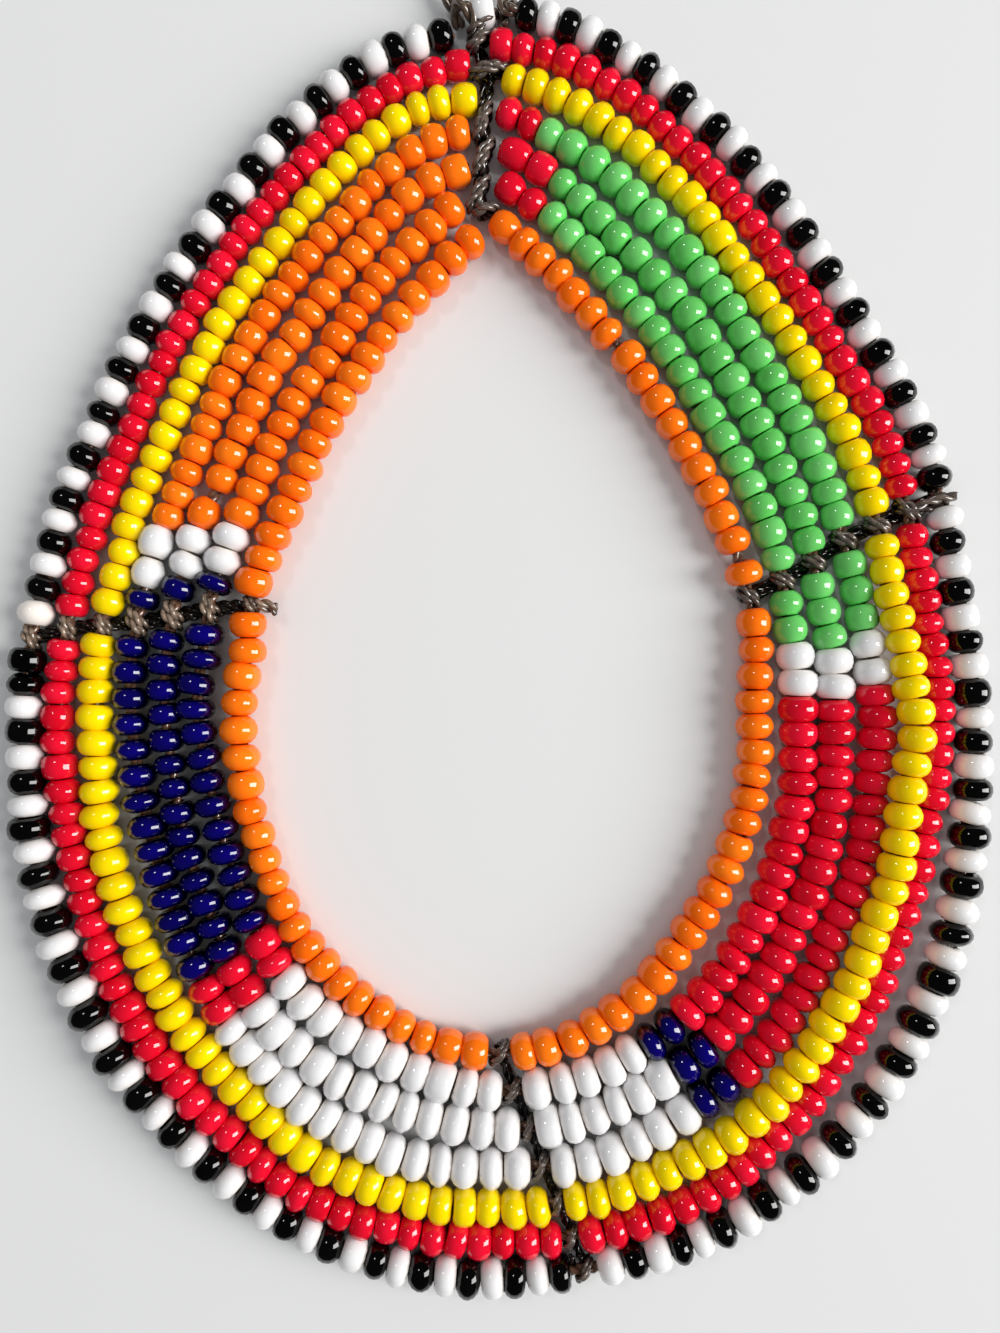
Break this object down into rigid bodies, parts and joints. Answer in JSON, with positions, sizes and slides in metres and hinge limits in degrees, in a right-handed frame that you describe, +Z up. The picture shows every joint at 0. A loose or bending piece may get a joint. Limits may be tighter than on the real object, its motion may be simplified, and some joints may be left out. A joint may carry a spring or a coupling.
{
  "type": "maasai beaded teardrop collar pendant",
  "caption": "Flat teardrop collar of concentric seed-bead strings in colour blocks, tied across at lashings, with a thread loop at the apex; lies flat.",
  "frame": {"origin": "middle of the collar's outline seen from above, on the surface that it lies on", "axes": "+Z up, +Y towards the teardrop's apex and its hanging loop, +X to the right as seen from above"},
  "size_m": [0.0682, 0.0938, 0.0039],
  "materials": {
    "bead_orange": "gloss opaque orange glass",
    "bead_yellow": "gloss opaque yellow glass",
    "bead_red": "gloss opaque red glass",
    "bead_navy": "gloss dark navy glass",
    "bead_green": "gloss opaque light green glass",
    "bead_white": "gloss opaque white glass",
    "bead_black": "gloss black glass",
    "thread": "brown two-ply beading thread"
  },
  "bodies": {
    "root": {"inner_orange_row": "bead_orange", "top_red_block": "bead_red", "green_block": "bead_green", "right_white_block": "bead_white", "right_red_block": "bead_red", "navy_pair_block": "bead_navy", "bottom_white_block": "bead_white", "red_pair_block": "bead_red", "navy_block": "bead_navy", "left_white_block": "bead_white", "orange_block": "bead_orange", "yellow_row": "bead_yellow", "outer_red_row": "bead_red", "black_white_row": "bead_black", "top_lashing": "thread", "left_lashing": "thread", "bottom_lashing": "thread", "right_lashing": "thread", "hanging_loop": "thread"}
  },
  "joints": []
}
